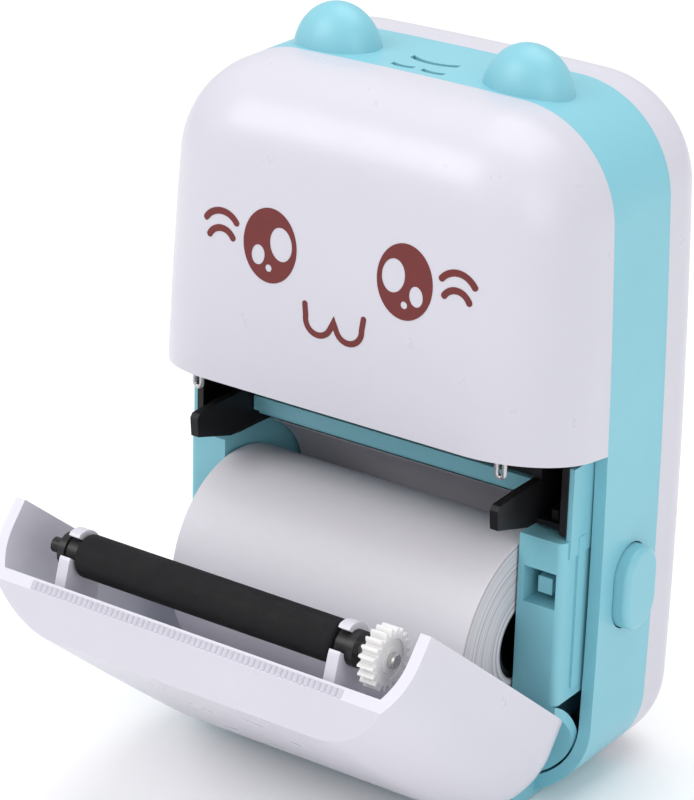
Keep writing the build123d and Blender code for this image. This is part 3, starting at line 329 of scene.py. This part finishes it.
NODE_LOOK = {
    "middle_frame": "cyan_frame",
    "front_cover": "white_shell",
    "face_print": "face_ink",
    "back_cover": "white_shell",
    "case_screws": "screw_steel",
    "bay_frame": "cyan_inner",
    "paper_tray": "cyan_inner",
    "paper_roll": "roll_paper",
    "paper_core": "black_core",
    "paper_tail": "thermal_paper",
    "door_shell": "white_shell",
    "platen_arms": "white_inner",
    "tear_edge": "white_inner",
    "platen_rubber": "platen",
    "platen_shaft": "turned_steel",
    "platen_bushings": "black_bush",
    "platen_gear": "milky_nylon",
    "hinge_pins": "turned_steel",
    "head_frame": "black_frame",
    "thermal_head": "glazed_ceramic",
    "heat_sink": "drawn_aluminium",
    "head_springs": "spring_steel",
    "wire_clips": "wire_steel",
    "drive_gear": "milky_nylon",
    "idler_gear": "pinion_nylon",
    "motor_pinion": "turned_steel",
    "gear_axles": "turned_steel",
    "stepper_motor": "motor_can",
    "main_board": "green_board",
    "board_chips": "chip_epoxy",
    "capacitors": "capacitor_can",
    "board_connectors": "pinion_nylon",
    "usb_socket": "socket_shell",
    "usb_tongue": "black_case",
    "tact_switch": "black_case",
    "power_button": "white_button",
    "status_light": "light_pipe",
    "battery_pack": "silver_foil",
    "battery_leads": "red_wire",
    "head_ribbon": "amber_flex",
    "release_button": "cyan_button",
    "release_plunger": "cyan_inner",
    "release_spring": "spring_steel",
}

for node_name, look in NODE_LOOK.items():
    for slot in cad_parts[node_name].material_slots:
        slot.material = MATERIALS[look]


# ---------------------------------------------------------------- stage, light, camera
def floor_material():
    """Pale seamless paper."""
    material, tree, shader, place = start_material("floor_paper", specular=0.2)
    clouds = noise(tree, place, 9.0, 3.0)
    link(tree, blend_of(tree, clouds, (0.93, 0.93, 0.935), (0.96, 0.96, 0.962)),
         shader.inputs["Base Color"])
    link(tree, spread(tree, noise(tree, place, 60.0, 3.0), 0.7, 0.85), shader.inputs["Roughness"])
    return material


def build_floor(half=3.0):
    """A wide flat floor under the object."""
    mesh = bpy.data.meshes.new("studio_floor")
    corners = [(-half, -half, 0.0), (half, -half, 0.0), (half, half, 0.0), (-half, half, 0.0)]
    mesh.from_pydata(corners, [], [(0, 1, 2, 3)])
    floor = bpy.data.objects.new("studio_floor", mesh)
    mesh.materials.append(floor_material())
    bpy.context.scene.collection.objects.link(floor)
    floor.location.z = cad_bounds[0][2] - FLOOR_GAP


def softbox(name, position, aim, size, power, colour=(1.0, 1.0, 1.0)):
    """A square area light at position, facing aim."""
    data = bpy.data.lights.new(name, "AREA")
    data.shape = "RECTANGLE"
    data.size, data.size_y = size
    data.energy = power
    data.color = colour
    lamp = bpy.data.objects.new(name, data)
    bpy.context.scene.collection.objects.link(lamp)
    lamp.location = position
    towards = Vector(aim) - Vector(position)
    lamp.rotation_euler = towards.to_track_quat("-Z", "Y").to_euler()


def studio():
    """Soft key from the upper left front, fills from the right and above, pale surroundings.

    The Standard view keeps the white background white, as in the photograph."""
    target = (0.0, -0.01, 0.06)
    softbox("key_light", (-0.55, -0.75, 0.75), target, (0.6, 0.6), 4.6, (1.0, 0.99, 0.98))
    softbox("fill_light", (0.85, -0.55, 0.45), target, (0.7, 0.7), 2.6, (0.98, 0.99, 1.0))
    softbox("top_light", (0.0, 0.15, 0.95), target, (0.8, 0.8), 4.5)
    world = bpy.data.worlds.new("studio_world")
    world.use_nodes = True
    background = world.node_tree.nodes["Background"]
    background.inputs["Color"].default_value = (0.97, 0.98, 1.0, 1.0)
    background.inputs["Strength"].default_value = 0.72
    bpy.context.scene.world = world
    bpy.context.scene.view_settings.view_transform = "Standard"


def camera():
    """The photograph's viewpoint: about 34 degrees round to the right and 23 degrees above."""
    aim = Vector((-0.00105, -0.018, 0.06616))
    distance = 0.51003
    azimuth, elevation, roll = math.radians(34.460), math.radians(22.932), math.radians(1.555)
    forward = Vector((-math.sin(azimuth) * math.cos(elevation),
                      math.cos(azimuth) * math.cos(elevation), -math.sin(elevation)))
    level = Vector((math.cos(azimuth), math.sin(azimuth), 0.0))
    upright = level.cross(forward)
    right = level * math.cos(roll) + upright * math.sin(roll)
    up = upright * math.cos(roll) - level * math.sin(roll)
    data = bpy.data.cameras.new("photo_camera")
    data.sensor_fit = "AUTO"
    data.sensor_width = SENSOR
    data.lens = SENSOR * FOCAL_DOTS / PICTURE_HEIGHT
    data.clip_start, data.clip_end = 0.01, 20.0
    eye = bpy.data.objects.new("photo_camera", data)
    bpy.context.scene.collection.objects.link(eye)
    turn = Matrix((right, up, -forward)).transposed()
    eye.matrix_world = Matrix.Translation(aim - forward * distance) @ turn.to_4x4()
    bpy.context.scene.camera = eye


build_floor()
studio()
camera()
